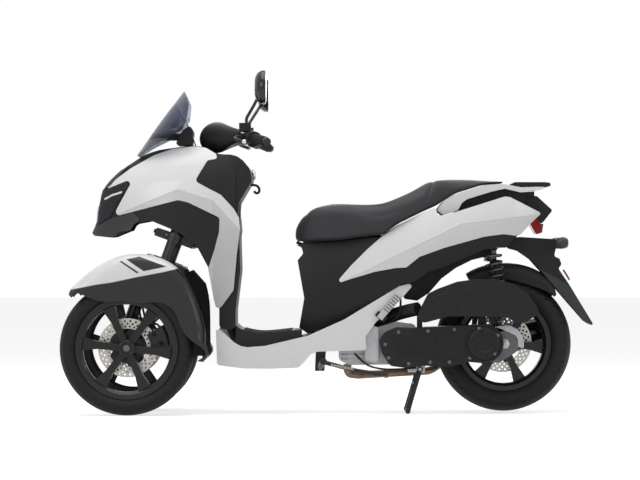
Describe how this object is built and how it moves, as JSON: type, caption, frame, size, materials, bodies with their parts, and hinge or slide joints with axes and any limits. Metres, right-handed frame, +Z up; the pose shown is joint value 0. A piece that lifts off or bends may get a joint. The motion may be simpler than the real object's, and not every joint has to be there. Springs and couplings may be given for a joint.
{
  "type": "three-wheel motor scooter",
  "caption": "Tilting motor scooter with a pair of steered front wheels, one driven rear wheel, windscreen, step-through floor and two-level seat.",
  "frame": {"origin": "on the floor, under the middle of the overall length, in the scooter's middle plane", "axes": "+X forward, +Y to the rider's left, +Z up"},
  "size_m": [1.9949, 0.7852, 1.2787],
  "materials": {
    "black": "moulded, matte",
    "white": "gloss paint on moulded panels",
    "satin_black": "satin paint",
    "tyre": "rubber",
    "steel": "brushed",
    "seat": "coated fabric",
    "grey_alloy": "cast",
    "lamp": "clear moulded lens",
    "red_lamp": "moulded lens",
    "smoke": "tinted"
  },
  "bodies": {
    "chassis": {"air_cleaner": "black", "cvt_case": "black", "engine": "grey_alloy", "exhaust": "black", "floorboard": "black", "frame": "satin_black", "grab_rail": "white", "headlamps": "lamp", "inner_nose": "black", "leg_shield": "black", "nose_cowl": "white", "rear_brake": "satin_black", "rear_carrier": "black", "rear_lamps": "red_lamp", "rear_mudguard": "black", "shocks": "satin_black", "side_covers": "black", "skirts": "white", "storage_box": "black", "tail_cowls": "white", "tilt_linkage": "satin_black", "windscreen": "smoke"},
    "steering": {"handlebar": "satin_black", "controls": "black", "handlebar_cover": "black", "mirrors": "black"},
    "fork_left": {"fork_left": "satin_black", "fender_left": "white"},
    "fork_right": {"fork_right": "satin_black", "fender_right": "white"},
    "tie_rod": {"tie_rod": "satin_black"},
    "wheel_left": {"front_tyre_left": "tyre", "front_rim_left": "satin_black", "front_disc_left": "steel"},
    "wheel_right": {"front_tyre_right": "tyre", "front_rim_right": "satin_black", "front_disc_right": "steel"},
    "wheel_rear": {"rear_tyre": "tyre", "rear_rim": "satin_black", "rear_disc": "steel"},
    "seat": {"seat": "seat"},
    "centre_stand": {"centre_stand": "satin_black"},
    "side_stand": {"side_stand": "satin_black"},
    "footpeg_left": {"footpeg_left": "grey_alloy"},
    "footpeg_right": {"footpeg_right": "grey_alloy"}
  },
  "joints": [
    {"name": "steering", "type": "hinge", "parent": "chassis", "child": "steering", "pos_m": [0.59057, 0, 0.618], "axis": [-0.342, 0, 0.9397], "range_deg": [-28, 28]},
    {"name": "kingpin_left", "type": "hinge", "parent": "chassis", "child": "fork_left", "pos_m": [0.59057, 0.15, 0.618], "axis": [-0.342, 0, 0.9397], "range_deg": [-28, 28]},
    {"name": "kingpin_right", "type": "hinge", "parent": "chassis", "child": "fork_right", "pos_m": [0.59057, -0.15, 0.618], "axis": [-0.342, 0, 0.9397], "range_deg": [-28, 28]},
    {"name": "tie_rod_pivot", "type": "hinge", "parent": "steering", "child": "tie_rod", "pos_m": [0.70848, 0, 0.56301], "axis": [-0.342, 0, 0.9397], "range_deg": [-28, 28]},
    {"name": "wheel_left_spin", "type": "hinge", "parent": "fork_left", "child": "wheel_left", "pos_m": [0.7475, 0.235, 0.25], "axis": [0, 1, 0], "continuous": true},
    {"name": "wheel_right_spin", "type": "hinge", "parent": "fork_right", "child": "wheel_right", "pos_m": [0.7475, -0.235, 0.25], "axis": [0, 1, 0], "continuous": true},
    {"name": "wheel_rear_spin", "type": "hinge", "parent": "chassis", "child": "wheel_rear", "pos_m": [-0.6625, 0, 0.262], "axis": [0, 1, 0], "continuous": true},
    {"name": "seat_hinge", "type": "hinge", "parent": "chassis", "child": "seat", "pos_m": [0.114, 0, 0.642], "axis": [0, 1, 0], "range_deg": [0, 70]},
    {"name": "centre_stand_pivot", "type": "hinge", "parent": "chassis", "child": "centre_stand", "pos_m": [-0.345, 0, 0.166], "axis": [0, 1, 0], "range_deg": [0, 87]},
    {"name": "side_stand_pivot", "type": "hinge", "parent": "chassis", "child": "side_stand", "pos_m": [0.02, 0.158, 0.196], "axis": [0.1667, -0.9259, -0.3389], "range_deg": [0, 105]},
    {"name": "footpeg_left_pivot", "type": "hinge", "parent": "chassis", "child": "footpeg_left", "pos_m": [-0.197, 0.176, 0.366], "axis": [-0.7627, 0, -0.6468], "range_deg": [0, 90]},
    {"name": "footpeg_right_pivot", "type": "hinge", "parent": "chassis", "child": "footpeg_right", "pos_m": [-0.197, -0.176, 0.366], "axis": [0.7627, 0, 0.6468], "range_deg": [0, 90]}
  ],
  "couplings": [
    {"joint": "kingpin_left", "follows": "steering", "ratio": 1},
    {"joint": "kingpin_right", "follows": "steering", "ratio": 1},
    {"joint": "tie_rod_pivot", "follows": "steering", "ratio": -1}
  ]
}
